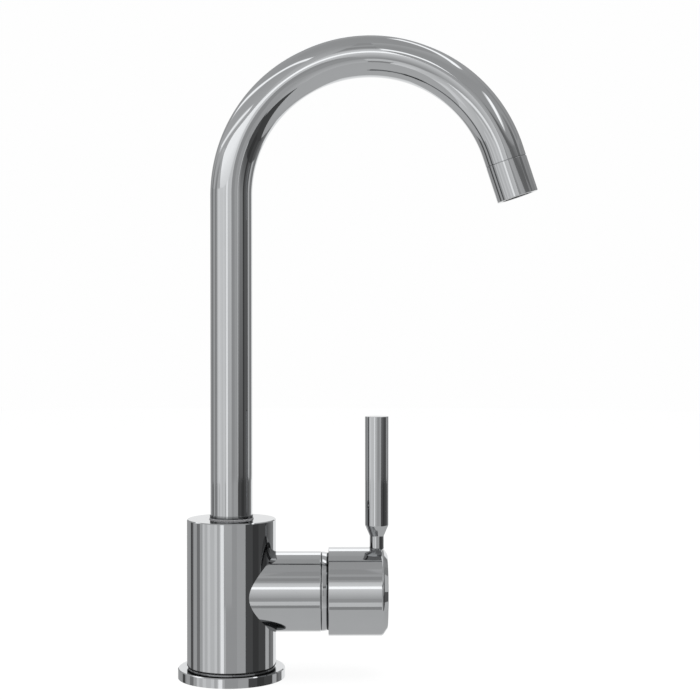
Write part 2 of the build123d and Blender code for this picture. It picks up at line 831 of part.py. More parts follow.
web_end = hose_end + adapter_web_t
nozzle_end = screen_at + screen_t
with BuildPart() as tip_adapter:
    # sleeve in the tube, thin seam flange and the thread that carries the aerator
    revolve(
        half_section(
            mouth_section,
            (adapter_start, adapter_bore_r),
            (adapter_start, tube_r - tube_wall - seat_play),
            (seam_at, tube_r - tube_wall - seat_play),
            (seam_at, seam_r),
            (thread_at, seam_r),
            (thread_at, adapter_thread_r),
            (washer_at, adapter_thread_r),
            (washer_at, adapter_bore_r),
        ),
        axis=mouth_axis,
    )
    # hose barb, hub and the nozzle of the filtered line
    revolve(
        half_section(
            mouth_section,
            (hose_end - barb_l, barb_bore_r),
            (hose_end - barb_l, barb_r),
            (hose_end, barb_r),
            (hose_end, adapter_hub_r),
            (web_end, adapter_hub_r),
            (web_end, nozzle_r),
            (nozzle_end, nozzle_r),
            (nozzle_end, nozzle_bore_r),
            (web_end, nozzle_bore_r),
            (web_end, barb_bore_r),
        ),
        axis=mouth_axis,
    )
    with BuildSketch(across_mouth(hose_end)):
        with PolarLocations((adapter_bore_r + adapter_hub_r) / 2, spoke_count):
            Rectangle(adapter_bore_r - adapter_hub_r + 2 * spoke_sink, spoke_w)
    extrude(amount=adapter_web_t)
tip_adapter.part.label = "tip_adapter"

aerator_bore = aerator_r - aerator_wall
with BuildPart() as aerator_housing:
    revolve(
        half_section(
            mouth_section,
            (thread_at, adapter_thread_r + seat_play),
            (thread_at, aerator_r),
            (mouth_at - aerator_chamfer, aerator_r),
            (mouth_at, aerator_r - aerator_chamfer),
            (mouth_at, aerator_lip_r),
            (mouth_at - aerator_lip_t, aerator_lip_r),
            (mouth_at - aerator_lip_t, aerator_bore),
            (insert_at, aerator_bore),
            (insert_at, adapter_thread_r + seat_play),
        ),
        axis=mouth_axis,
    )
aerator_housing.part.label = "aerator_housing"

with BuildPart() as aerator_seal:
    with BuildSketch(across_mouth(washer_at)):
        Circle(adapter_thread_r)
        Circle(washer_r_in, mode=Mode.SUBTRACT)
    extrude(amount=washer_t)
aerator_seal.part.label = "aerator_seal"

with BuildPart() as aerator_insert:
    with BuildSketch(across_mouth(insert_at)):
        Circle(aerator_bore - seat_play)
        Circle(nozzle_r + seat_play, mode=Mode.SUBTRACT)
        with PolarLocations(insert_pitch_r, insert_hole_count):
            Circle(insert_hole_r, mode=Mode.SUBTRACT)
    extrude(amount=insert_l)
aerator_insert.part.label = "aerator_insert"

with BuildPart() as aerator_screen:
    with BuildSketch(across_mouth(screen_at)):
        Circle(aerator_bore - seat_play)
        Circle(nozzle_r + seat_play, mode=Mode.SUBTRACT)
        with PolarLocations(insert_pitch_r, screen_slot_count):
            Rectangle(screen_slot_l, screen_slot_w, mode=Mode.SUBTRACT)
    extrude(amount=screen_t)
aerator_screen.part.label = "aerator_screen"

pieces = (
    main_body, base_flange, flange_o_ring, deck_gasket, spout_grub_screw,
    cartridge_base, cartridge_o_ring, port_seals, fixed_disc, cartridge_housing, cartridge_nut,
    dome_cover, moving_disc, disc_carrier, turning_sleeve, pivot_pin,
    lever_stem, handle_cap, handle_grub_screw, screw_plug, lever_stick,
    spout_spigot, spout_o_rings, slip_ring, spout_tube,
    filter_nipple, nipple_o_ring, hose_ferrule, filtered_hose,
    tip_adapter, aerator_housing, aerator_seal, aerator_insert, aerator_screen,
)
for piece in pieces:
    export_step(piece.part, f"parts/{piece.part.label}.step")
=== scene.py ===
"""Three way kitchen tap for filtered water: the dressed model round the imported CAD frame, and its studio stage.

Lengths in the shape code are millimetres in the row frame (origin under the flange, +X to the lever, +Z up).
"""

from math import atan2, cos, pi, radians, sin, sqrt, tan

import bpy
import numpy as np
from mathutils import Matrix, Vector


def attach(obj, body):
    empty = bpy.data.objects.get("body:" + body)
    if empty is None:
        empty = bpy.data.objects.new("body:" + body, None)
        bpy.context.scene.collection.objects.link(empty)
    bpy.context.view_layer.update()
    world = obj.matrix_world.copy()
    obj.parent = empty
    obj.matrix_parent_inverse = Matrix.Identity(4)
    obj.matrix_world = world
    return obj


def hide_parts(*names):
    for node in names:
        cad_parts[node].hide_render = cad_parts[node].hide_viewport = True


bl_info = {
    "name": "Three way kitchen tap",
    "version": (1, 0, 0),
    "blender": (4, 5, 0),
    "location": "3D View > Sidebar > Tap",
    "description": "Builds the chromed pieces of a filtered water tap on its CAD frame, with their finishes and stage",
    "category": "Object",
}

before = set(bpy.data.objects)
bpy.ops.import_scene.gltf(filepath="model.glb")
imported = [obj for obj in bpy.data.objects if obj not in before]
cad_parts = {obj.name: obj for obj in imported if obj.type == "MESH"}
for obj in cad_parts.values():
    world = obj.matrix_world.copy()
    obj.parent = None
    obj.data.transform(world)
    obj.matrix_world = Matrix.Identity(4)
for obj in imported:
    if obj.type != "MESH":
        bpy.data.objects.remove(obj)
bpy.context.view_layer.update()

MM = 0.001
WELD = 1e-4                                   # mm, corners nearer than this are one vertex
UP = np.array([0.0, 0.0, 1.0])
ALONG = np.array([1.0, 0.0, 0.0])
ACROSS = np.array([0.0, 1.0, 0.0])
ORIGIN = np.zeros(3)
SEGMENTS = 192
TURN = np.linspace(0, 2 * pi, SEGMENTS + 1)


def linear(code, alpha=True):
    """An sRGB hex colour as linear light: below 0.04045 a straight line, above it a 2.4 power. Alpha is 1."""
    part = np.array([int(code[i:i + 2], 16) for i in (1, 3, 5)]) / 255
    light = np.where(part <= 0.04045, part / 12.92, ((part + 0.055) / 1.055) ** 2.4)
    return (*light.tolist(), 1.0) if alpha else light.tolist()


def unit(vector):
    """The vector, or each vector of an array, divided by its length."""
    vector = np.asarray(vector, float)
    return vector / np.linalg.norm(vector, axis=-1, keepdims=True)


# --- Surfaces --------------------------------------------------------------------------------
# A patch is a pair of arrays, rows x columns x 3: points of a surface and its outward normals there.


def half_section(*corners, closed=False, steps=6):
    """Half section of a turned piece, as rows of (along, out, normal along, normal out).

    Corners are (along, out) or (along, out, rounding), in the order that keeps the solid on the right hand, so the
    outward normal is the run's direction turned a quarter to the left. A sharp corner is two rows with the
    two runs' normals. A rounded one is an arc whose heading swings evenly from one run's direction to the next.
    """
    points = np.array([c[:2] for c in corners], float)
    rounding = [c[2] if len(c) > 2 else 0 for c in corners]
    run = unit(np.roll(points, -1, axis=0) - points)
    rows = []
    for i, (point, radius) in enumerate(zip(points, rounding)):
        before, after = run[i - 1], run[i]
        if not closed and i == 0:
            before = after
        if not closed and i == len(points) - 1:
            after = before
        bend = atan2(before[0] * after[1] - before[1] * after[0], before @ after)
        heading = atan2(before[1], before[0]) + np.linspace(0, bend, steps + 1 if radius else 2)
        normal = np.stack([-np.sin(heading), np.cos(heading)], axis=1)
        side = 1 if bend > 0 else -1
        start = point - before * radius * tan(abs(bend) / 2)
        arc = start + side * radius * (normal[0] - normal)
        rows.append(np.hstack([arc, normal]))
    if closed:
        rows.append(rows[0][:1])
    return np.vstack(rows)


def wall_section(levels, radius):
    """Half section of a straight round wall, with a row at each level."""
    return np.stack([levels, 0 * levels + radius, 0 * levels, 0 * levels + 1], axis=1)


def round_section(along, out, radius, sides=32):
    """Half section of a ring with a round section: a circle about (along, out)."""
    spin = np.linspace(0, 2 * pi, sides + 1)
    normal = np.stack([np.cos(spin), np.sin(spin)], axis=1)
    return np.hstack([np.array([along, out]) + radius * normal, normal])


def dome_section(centre, radius, start, end, steps=24, inside=False):
    """Arc of a sphere's half section, between two places along the axis: its normal is the line from the centre."""
    swing = np.linspace(np.arccos((start - centre) / radius), np.arccos((end - centre) / radius), steps + 1)
    normal = np.stack([np.cos(swing), np.sin(swing)], axis=1)
    return np.hstack([np.array([centre, 0]) + radius * normal, -normal if inside else normal])


def turned(section, origin, axis, start, angles=TURN):
    """The section carried round an axis: point = origin + along * axis + out * (cos t * start + sin t * side)."""
    ring = np.cos(angles)[:, None] * start + np.sin(angles)[:, None] * np.cross(axis, start)
    along, out, n_along, n_out = (column[:, None, None] for column in section.T)
    return origin + along * axis + out * ring, n_along * axis + n_out * ring


def ruled(first, last, normals, rows=2):
    """Straight lines from each point of one edge to its partner on another, with the same normal all along."""
    share = np.linspace(0, 1, rows)[:, None, None]
    points = first + share * (last - first)
    return points, np.broadcast_to(normals, points.shape)


def edge_loop(across, along):
    """Once round a rectangle's edge: its lower side, far side, upper side backwards and near side backwards."""
    def side(a, b):
        return np.stack(np.broadcast_arrays(a, b), axis=1)
    return np.vstack([
        side(across[:-1], along[0]), side(across[-1], along[:-1]),
        side(across[:0:-1], along[-1]), side(across[0], along[::-1]),
    ])


def hole_angles(loop, centre):
    """Where each edge point's ray meets the hole: the angle of its offset, as shares of the rectangle's reach."""
    offset = loop - centre
    reach = np.where(offset > 0, loop.max(axis=0) - centre, centre - loop.min(axis=0))
    return np.arctan2(*(offset / reach).T[::-1])


def pierced_wall(radius, hole_r, place, across, along, origin, axis, start, rings=10):
    """Part of a round wall with a round hole, drilled square to the axis where the wall faces `start`.

    The wall is unrolled to (angle, height). The hole's edge is angle = arcsin(hole_r cos b / radius) and
    height = place + hole_r sin b, and rays go from it to the rectangle's edge. Returns the patch, b and the edge.
    """
    loop = edge_loop(across, along)
    b = hole_angles(loop, np.array([0, place]))
    edge = np.stack([np.arcsin(hole_r * np.cos(b) / radius), place + hole_r * np.sin(b)], axis=1)
    share = np.linspace(0, 1, rings + 1)[:, None, None]
    angle, height = np.moveaxis(edge + share * (loop - edge), -1, 0)[..., None]
    normals = np.cos(angle) * start + np.sin(angle) * np.cross(axis, start)
    points = origin + height * axis + radius * normals
    return (points, normals), b, points[0]


def blind_hole(edge, b, place, origin, axis, start, *steps):
    """Walls and floors of a stepped hole from a pierced wall: for each (radius, distance of the floor from the axis),
    straight lines from the last edge to a circle, then over the floor to the next radius, or to the centre."""
    spoke = np.cos(b)[:, None] * np.cross(axis, start) + np.sin(b)[:, None] * axis
    patches = []
    for number, (hole_r, floor_at) in enumerate(steps):
        next_r = steps[number + 1][0] if number + 1 < len(steps) else 0
        centre = origin + place * axis + floor_at * start
        patches += [ruled(edge, centre + hole_r * spoke, -spoke),
                    ruled(centre + hole_r * spoke, centre + next_r * spoke, start)]
        edge = centre + next_r * spoke
    return patches


def swept(radius, centres, headings, inside=False):
    """A round section carried along a line in the XZ plane: point = centre + radius (cos t * inward + sin t * Y)."""
    inward = np.cross(ACROSS, headings)[:, None]
    spoke = np.cos(TURN)[:, None] * inward + np.sin(TURN)[:, None] * ACROSS
    return centres[:, None] + radius * spoke, -spoke if inside else spoke


def cells(grid):
    """The four corners of every cell of a grid."""
    return np.stack([grid[:-1, :-1], grid[1:, :-1], grid[1:, 1:], grid[:-1, 1:]], axis=2).reshape(-1, 4, 3)


def piece(name, patches, body, finish, slot, *nodes):
    """Joins patches into one mesh object that stands for the named CAD nodes.

    Cells are turned round where their cross product is against their mean normal. Corners that round to the same
    place are one vertex, and a cell with two equal corners becomes a triangle, or nothing. The patches' exact normals
    are kept as the corners' own.
    """
    corners = np.concatenate([cells(points) for points, _ in patches])
    normals = np.concatenate([cells(np.broadcast_to(n, p.shape)) for p, n in patches])
    cross = np.cross(corners[:, 2] - corners[:, 0], corners[:, 3] - corners[:, 1])
    wrong = (cross * normals.sum(axis=1)).sum(axis=1) < 0
    corners[wrong], normals[wrong] = corners[wrong][:, ::-1], normals[wrong][:, ::-1]
    flat = corners.reshape(-1, 3)
    _, first, index = np.unique(np.round(flat / WELD).astype(np.int64), axis=0, return_index=True, return_inverse=True)
    index = index.reshape(-1, 4)
    kept = index != np.roll(index, -1, axis=1)
    whole = kept.sum(axis=1) > 2
    kept, index, normals = kept[whole], index[whole], normals[whole]
    sides = kept.sum(axis=1)
    mesh = bpy.data.meshes.new(name)
    mesh.vertices.add(len(first))
    mesh.vertices.foreach_set("co", (flat[first] * MM).ravel())
    mesh.loops.add(int(sides.sum()))
    mesh.loops.foreach_set("vertex_index", index[kept].ravel())
    mesh.polygons.add(len(sides))
    mesh.polygons.foreach_set("loop_start", np.cumsum(sides) - sides)
    mesh.polygons.foreach_set("use_smooth", np.ones(len(sides), bool))
    mesh.update(calc_edges=True)
    mesh.normals_split_custom_set(normals[kept])
    mesh.materials.append(finish)
    made = bpy.data.objects.new(name, mesh)
    bpy.context.scene.collection.objects.link(made)
    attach(made, body)
    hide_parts(*nodes)
    return made


# --- Finishes --------------------------------------------------------------------------------


def add(tree, kind, sockets=(), **settings):
    """Adds one node: its settings by name, and for each input a value to set or an output to link."""
    made = tree.nodes.new(kind)
    for name, value in settings.items():
        setattr(made, name, value)
    for name, value in dict(sockets).items():
        if isinstance(value, bpy.types.NodeSocket):
            tree.links.new(value, made.inputs[name])
        else:
            made.inputs[name].default_value = value
    return made


def new_material(name):
    """An empty node material, its object coordinates and its output."""
    material = bpy.data.materials.get(name) or bpy.data.materials.new(name)
    material.use_nodes = True
    tree = material.node_tree
    tree.nodes.clear()
    place = add(tree, "ShaderNodeTexCoord").outputs["Object"]
    return material, tree, place, add(tree, "ShaderNodeOutputMaterial")


def surface(name, tones, metallic, roughness, grain_mm, bump=0.0, bump_mm=0.01, stretch=(1, 1, 1), **sockets):
    """A finish whose tone, roughness and relief follow one noise of a given grain size, from low to high."""
    material, tree, place, output = new_material(name)
    place = add(tree, "ShaderNodeMapping", {"Vector": place, "Scale": stretch}).outputs["Vector"]
    noise = add(tree, "ShaderNodeTexNoise", {"Vector": place, "Scale": 1 / (grain_mm * MM), "Detail": 4.0})
    tone = add(tree, "ShaderNodeMix", {0: noise.outputs[0], 6: linear(tones[0]), 7: linear(tones[1])}, data_type="RGBA")
    gloss = add(tree, "ShaderNodeMapRange", {0: noise.outputs[0], 1: 0.3, 2: 0.7, 3: roughness[0], 4: roughness[1]})
    relief = add(tree, "ShaderNodeBump", {"Height": noise.outputs[0], "Strength": bump, "Distance": bump_mm * MM})
    shader = add(tree, "ShaderNodeBsdfPrincipled", {
        "Base Color": tone.outputs[2], "Metallic": metallic, "Roughness": gloss.outputs[0],
        "Normal": relief.outputs[0], **{key.replace("_", " "): value for key, value in sockets.items()},
    })
    tree.links.new(shader.outputs[0], output.inputs[0])
    return material


def chrome_plate():
    """Bright chromium plate on polished brass: a mirror, with a faint waviness and haze from the buffing."""
    return surface("polished_chrome_plate", ("#e2e4e6", "#dfe1e3"), 1.0, (0.03, 0.05), 9.0, 0.05, 0.004)


def dark_mirror_plate():
    """Darker plate on the spigot, its collar and the tip adapter: still a mirror, at about half the light of the
    chrome.
    """
    return surface("dark_mirror_plate", ("#b2b4b6", "#acaeb0"), 1.0, (0.05, 0.08), 6.0, 0.05, 0.004)


def turned_brass():
    """Lead-free brass as it leaves the lathe: yellow metal with fine feed marks round the axis."""
    return surface("turned_brass", ("#c9a561", "#b18c4b"), 1.0, (0.2, 0.36), 0.5, 0.3, 0.01, (6, 1, 1))


def bead_blast_steel():
    """Stainless screws and screen, tumbled dull: even grey with a fine grain."""
    return surface("tumbled_stainless_steel", ("#b9b8b6", "#a3a2a1"), 1.0, (0.28, 0.42), 0.4, 0.2, 0.01)


def nitrile_rubber():
    """Moulded nitrile rubber seals: near black, dull, with a light bloom."""
    return surface("moulded_nitrile_rubber", ("#1b1b1c", "#262627"), 0.0, (0.55, 0.72), 1.2, 0.25, 0.02)


def alumina():
    """Lapped alumina discs: warm white, smooth and slightly glossy."""
    return surface("lapped_alumina_ceramic", ("#f0eee8", "#e6e3db"), 0.0, (0.16, 0.26), 2.0, 0.05, 0.005)


def acetal(name, tones):
    """Moulded acetal or nylon: even colour, soft sheen, faint flow marks from the mould."""
    return surface(name, tones, 0.0, (0.38, 0.5), 4.0, 0.1, 0.01, (1, 1, 3))


def hose_plastic():
    """Extruded polyethylene drinking hose: milky white, faint lines along its length."""
    return surface("extruded_polyethylene", ("#f0f0ec", "#e4e4df"), 0.0, (0.3, 0.4), 3.0, 0.1, 0.01, (1, 1, 0.1))


def length(label, description, value):
    """A length setting, in metres."""
    return bpy.props.FloatProperty(name=label, description=description, default=value * MM, min=0, unit="LENGTH",
                                   precision=5)


class TapSizes(bpy.types.PropertyGroup):
    """Main sizes of the dressed pieces"""
    body_r: length("Body radius", "Radius of the upright body", 25.0)
    boss_r: length("Boss radius", "Radius of the side boss", 22.4)
    flange_r: length("Flange radius", "Radius of the base flange", 30.0)
    cap_r: length("Cap radius", "Radius of the lever cap", 24.7)
    stick_r: length("Stick radius", "Radius of the lever's grip", 6.65)
    tube_r: length("Spout radius", "Radius of the spout tube", 11.75)
    bend_r: length("Bend radius", "Radius of the spout's bend, at the tube's centre line", 78.3)
    bend_angle: bpy.props.FloatProperty(name="Bend angle", description="How far the spout bends over", unit="ROTATION",
                                        default=radians(161.6))


class StageLook(bpy.types.PropertyGroup):
    """Camera and floor"""
    lens: bpy.props.FloatProperty(name="Lens", description="Focal length of the camera", default=75.3, unit="CAMERA")
    tilt: bpy.props.FloatProperty(name="Tilt", description="How far the camera looks down", unit="ROTATION",
                                  default=radians(0.6))
    pan: bpy.props.FloatProperty(name="Pan", description="How far the camera looks to the right", unit="ROTATION",
                                 default=radians(0.67))
    camera: bpy.props.FloatVectorProperty(name="Camera", description="Where the camera stands", size=3,
                                          subtype="TRANSLATION", default=(0.0570, -0.8231, 0.1922))
    floor: bpy.props.FloatVectorProperty(name="Floor", description="Colour of the floor", size=3, subtype="COLOR",
                                         default=linear("#fdfdfd", alpha=False), min=0, max=1)


def in_mm(group, *names):
    """Settings of a group, in millimetres."""
    return [getattr(group, name) / MM for name in names]


# --- Body and flange -------------------------------------------------------------------------

BODY_BOTTOM, BODY_TOP, BODY_EDGE = 6.6, 88.8, 0.5
BOSS_Z, BOSS_END, BOSS_EDGE = 47.8, 50.7, 0.9
FOOT_R, SOCKET_R, SOCKET_FLOOR = 22.8, 10.0, 66.3
SCREW_Z, SCREW_HOLE_R = 81.5, 2.55
PIVOT_X = 48.0


def underside(foot_r):
    """The foot's flat underside, with a stud hole and three inlets: each third of the ring is unrolled to
    (angle, radius), and rays go from the inlet's edge to the third's edge."""
    stud_r, stud_depth, inlet_r, inlet_depth, pitch_r = 3.4, 16.0, 4.5, 12, 12.0
    third = np.linspace(-pi / 3, pi / 3, SEGMENTS // 3 + 1)
    loop = edge_loop(third, np.linspace(stud_r, foot_r, 9))
    b = hole_angles(loop, np.array([0, pitch_r]))
    patches = []
    for number in range(3):
        out = np.array([cos(number * 2 * pi / 3), sin(number * 2 * pi / 3), 0])
        side = np.cross(UP, out)
        spoke = np.cos(b)[:, None] * side + np.sin(b)[:, None] * out
        edge = pitch_r * out + inlet_r * spoke
        rim = loop[:, 1:] * (np.cos(loop[:, :1]) * out + np.sin(loop[:, :1]) * side)
        floor = edge + inlet_depth * UP
        patches += [ruled(edge, rim, -UP, 9), ruled(edge, floor, -spoke),
                    ruled(floor, np.broadcast_to(pitch_r * out + inlet_depth * UP, floor.shape), -UP)]
    stud = half_section((stud_depth, 0), (stud_depth, stud_r), (0, stud_r))
    return patches + [turned(stud, ORIGIN, UP, ALONG)]


class TAP_OT_body(bpy.types.Operator):
    """Upright body with its side boss, spout socket and cartridge chamber"""
    bl_idname = "tap.body"
    bl_label = "Body"

    def execute(self, context):
        body_r, boss_r = in_mm(context.scene.tap_sizes, "body_r", "boss_r")
        boss_x, nut_x, chamber_x, nut_r, chamber_r = 26.0, 43.0, 17.0, 20.05, 18.0
        half, screw = radians(75), radians(15)
        levels = np.linspace(BODY_BOTTOM + BODY_EDGE, BODY_TOP - BODY_EDGE, 41)
        front, b, edge = pierced_wall(body_r, boss_r, BOSS_Z, np.linspace(-half, half, 81), levels, ORIGIN, UP, ALONG)
        spoke = np.cos(b)[:, None] * ACROSS + np.sin(b)[:, None] * UP
        boss = ruled(edge, boss_x * ALONG + BOSS_Z * UP + boss_r * spoke, spoke, 9)
        mouth = half_section((boss_x, boss_r), (BOSS_END, boss_r, BOSS_EDGE), (BOSS_END, nut_r), (nut_x, nut_r),
                             (nut_x, chamber_r), (chamber_x, chamber_r), (chamber_x, 0))
        back, c, rim = pierced_wall(body_r, SCREW_HOLE_R, SCREW_Z, np.linspace(-screw, screw, 17), levels, ORIGIN, UP,
                                    ACROSS, 6)
        wall = wall_section(levels, body_r)
        rest = np.linspace(half + 2 * screw, 2 * pi - half, 97)
        foot = half_section((0, FOOT_R), (BODY_BOTTOM, FOOT_R), (BODY_BOTTOM, body_r - BODY_EDGE),
                            (BODY_BOTTOM + BODY_EDGE, body_r))
        top = half_section((BODY_TOP - BODY_EDGE, body_r), (BODY_TOP, body_r - BODY_EDGE), (BODY_TOP, SOCKET_R + 0.3),
                           (BODY_TOP - 0.3, SOCKET_R), (SOCKET_FLOOR, SOCKET_R), (SOCKET_FLOOR, 0))
        patches = [
            front, boss, turned(mouth, BOSS_Z * UP, ALONG, ACROSS, b),
            back, *blind_hole(rim, c, SCREW_Z, ORIGIN, UP, ACROSS, (SCREW_HOLE_R, SOCKET_R + 0.1)),
            turned(wall, ORIGIN, UP, ALONG, rest), turned(foot, ORIGIN, UP, ALONG), turned(top, ORIGIN, UP, ALONG),
            *underside(FOOT_R),
        ]
        piece("tap_body", patches, "body", chrome_plate(), "polished_chrome", "main_body")
        return {"FINISHED"}


class TAP_OT_base(bpy.types.Operator):
    """Base flange, and the seal ring in the gap under the body"""
    bl_idname = "tap.base"
    bl_label = "Base flange"

    def execute(self, context):
        flange_r, = in_mm(context.scene.tap_sizes, "flange_r")
        top, edge, bore = 5.5, 0.5, FOOT_R + 0.05
        lip_top, lip_in, lip_out, lip_edge = 5.95, 23.96, 24.46, 0.12
        groove, groove_in, groove_out = 1.55, 24.95, 28.55
        flange = half_section(
            (0, flange_r), (top - edge, flange_r), (top, flange_r - edge), (top, lip_out), (lip_top, lip_out, lip_edge),
            (lip_top, lip_in, lip_edge), (top, lip_in), (top, bore), (0, bore),
            (0, groove_in), (groove, groove_in), (groove, groove_out), (0, groove_out), closed=True, steps=4)
        piece("tap_base_flange", [turned(flange, ORIGIN, UP, ALONG)], "body", chrome_plate(), "polished_chrome",
              "base_flange")
        seal_z, seal_r = 6.05, 0.53
        ring = round_section(seal_z, FOOT_R + 0.05 + seal_r, seal_r)
        piece("tap_flange_seal", [turned(ring, ORIGIN, UP, ALONG)], "body", nitrile_rubber(), "black_rubber",
              "flange_o_ring")
        return {"FINISHED"}


# --- Lever -----------------------------------------------------------------------------------

CAP_START, CAP_END, CAP_BORE_R = 54.5, 87.7, 23.0
STICK_X, PLUG_X = 81.7, 71.0


class TAP_OT_cap(bpy.types.Operator):
    """Ball shaped cover over the cartridge, and the lever cap that tilts and turns round it"""
    bl_idname = "tap.cap"
    bl_label = "Cap and dome"

    def execute(self, context):
        cap_r, = in_mm(context.scene.tap_sizes, "cap_r")
        centre = BOSS_Z * UP
        ball, wall, reach, round_r = CAP_BORE_R - 0.54, 1.2, 12.5, 0.5
        seat, end = BOSS_END, PIVOT_X + reach
        inner, mouth_r = ball - wall, 10.0
        rim_depth, rim_in, rim_out = 1.7, 18.8, 20.0
        # foot rounding: an arc about the point that lies as far from the seat plane as from the sphere
        foot_x = seat + round_r
        foot_out = sqrt((ball - round_r)**2 - (foot_x - PIVOT_X)**2)
        spin = np.linspace(pi, atan2(foot_out, foot_x - PIVOT_X), 9)
        normal = np.stack([np.cos(spin), np.sin(spin)], axis=1)
        dome = np.vstack([
            np.hstack([np.array([foot_x, foot_out]) + round_r * normal, normal]),
            dome_section(PIVOT_X, ball, PIVOT_X + ball * cos(spin[-1]), end),
            half_section((end, sqrt(ball**2 - reach**2)), (end, mouth_r), (end - wall, mouth_r),
                         (end - wall, sqrt(inner**2 - (reach - wall)**2))),
            dome_section(PIVOT_X, inner, end - wall, seat + wall, inside=True),
            half_section((seat + wall, sqrt(inner**2 - (seat + wall - PIVOT_X)**2)), (seat + wall, rim_in),
                         (seat - rim_depth, rim_in), (seat - rim_depth, rim_out), (seat, rim_out), (seat, foot_out)),
        ])
        piece("tap_dome_cover", [turned(dome, centre, ALONG, ACROSS)], "body", chrome_plate(), "polished_chrome",
              "dome_cover")

        low, high = CAP_START + 0.4, CAP_END - 4.2
        bevel_x, bevel_out, bevel_round = 2.8, 4, 2.0
        quarter = radians(22.5)
        levels = low + (high - low) * np.linspace(0, 1, 25)
        sector = np.linspace(-quarter, quarter, 25)
        spot_r, spot_floor, stud_r, stud_floor = 4.05, 24.2, 3.05, 10.65
        plug_r, plug_floor = 2.8, 21.5
        crown, b, edge = pierced_wall(cap_r, spot_r, STICK_X, sector, levels, centre, ALONG, UP)
        belly, c, rim = pierced_wall(cap_r, plug_r, PLUG_X, sector, levels, centre, ALONG, -UP)
        flanks = wall_section(levels, cap_r)
        flank = np.linspace(quarter, pi - quarter, 73)
        hub_x, recess_x, hub_r, recess_r = 66.0, 77.0, 8.0, 21.5
        mouth = half_section(
            (hub_x, 0), (hub_x, hub_r), (recess_x, hub_r), (recess_x, recess_r), (hub_x, recess_r), (hub_x, CAP_BORE_R),
            (CAP_START, CAP_BORE_R), (CAP_START, cap_r, 0.4), (low, cap_r))
        face = half_section((high, cap_r), (CAP_END - bevel_x, cap_r, bevel_round),
                            (CAP_END, cap_r - bevel_out, bevel_round), (CAP_END, 0), steps=10)
        patches = [
            crown, *blind_hole(edge, b, STICK_X, centre, ALONG, UP, (spot_r, spot_floor), (stud_r, stud_floor)),
            belly, *blind_hole(rim, c, PLUG_X, centre, ALONG, -UP, (plug_r, plug_floor)),
            turned(flanks, centre, ALONG, UP, flank), turned(flanks, centre, ALONG, -UP, flank),
            turned(mouth, centre, ALONG, UP), turned(face, centre, ALONG, UP),
        ]
        piece("tap_lever_cap", patches, "handle", chrome_plate(), "polished_chrome", "handle_cap")
        return {"FINISHED"}


class TAP_OT_stick(bpy.types.Operator):
    """Lever stick, whose neck stands in a spot face of the cap"""
    bl_idname = "tap.stick"
    bl_label = "Lever stick"

    def execute(self, context):
        stick_r, = in_mm(context.scene.tap_sizes, "stick_r")
        thread, neck, taper, grip, top = 58.5, 72.0, 79.0, 85.1, 146.3
        thread_r, neck_r, edge = 3.0, 4.0, 0.3
        stick = half_section((thread, 0), (thread, thread_r), (neck, thread_r), (neck, neck_r - edge),
                             (neck + edge, neck_r), (taper, neck_r, 1.2), (grip, stick_r, 1.2), (top, stick_r, edge),
                             (top, 0))
        piece("tap_lever_stick", [turned(stick, STICK_X * ALONG, UP, ALONG)], "handle", chrome_plate(),
              "polished_chrome", "lever_stick")
        return {"FINISHED"}


# --- Spout -----------------------------------------------------------------------------------

TUBE_FOOT, BEND_Z, TUBE_TAIL, TUBE_WALL = 91.2, 270.2, 5.5, 1.2


class TAP_OT_spout(bpy.types.Operator):
    """Swan neck spout, the collar it is brazed to and the plastic ring it turns on"""
    bl_idname = "tap.spout"
    bl_label = "Spout"

    def execute(self, context):
        sizes = context.scene.tap_sizes
        tube_r, bend_r = in_mm(sizes, "tube_r", "bend_r")
        # centre line: up the riser, round (R - R cos a, 0, z + R sin a), then straight on along the last heading
        swing = np.linspace(0, sizes.bend_angle, 161)
        arc = np.stack([bend_r * (1 - np.cos(swing)), 0 * swing, BEND_Z + bend_r * np.sin(swing)], axis=1)
        course = np.stack([np.sin(swing), 0 * swing, np.cos(swing)], axis=1)
        rise = np.linspace(TUBE_FOOT, BEND_Z, 61)[:-1, None] * UP
        centres = np.vstack([rise, arc, arc[-1:] + TUBE_TAIL * course[-1:]])
        headings = np.vstack([np.broadcast_to(UP, rise.shape), course, course[-1:]])
        outer, inner = swept(tube_r, centres, headings), swept(tube_r - TUBE_WALL, centres, headings, True)
        ends = [ruled(outer[0][i], inner[0][i], sign * headings[i]) for i, sign in ((0, -1), (-1, 1))]
        piece("tap_spout_tube", [outer, inner, *ends], "spout", chrome_plate(), "polished_chrome", "spout_tube")

        foot, top, bore_r, shank_r, sleeve_r = 66.6, 103.2, 6.5, 9.9, 10.5
        shoulder, collar_r, edge = 89.35, 12.1, 0.15
        collar = half_section(
            (foot, bore_r), (foot, shank_r), (shoulder, shank_r), (shoulder, collar_r, edge),
            (TUBE_FOOT, collar_r, edge), (TUBE_FOOT, sleeve_r), (top, sleeve_r), (top, bore_r), closed=True, steps=3)
        piece("tap_spout_collar", [turned(collar, ORIGIN, UP, ALONG)], "spout", dark_mirror_plate(), "spigot_plating",
              "spout_spigot")
        slip_foot, slip_in, slip_out = 88.85, 9.95, 12.4
        slip = half_section((slip_foot, slip_in), (slip_foot, slip_out), (shoulder, slip_out), (shoulder, slip_in),
                            closed=True)
        # ring tone: partly the acetal's own grey, partly painted light, set lighter to make up for the shade under the
        # collar
        piece("tap_slip_ring", [turned(slip, ORIGIN, UP, ALONG)], "spout",
              acetal("grey_acetal_lightened_against_shade", ("#b8b8ba", "#aeaeb0")), "slip_plastic", "slip_ring")
        return {"FINISHED"}


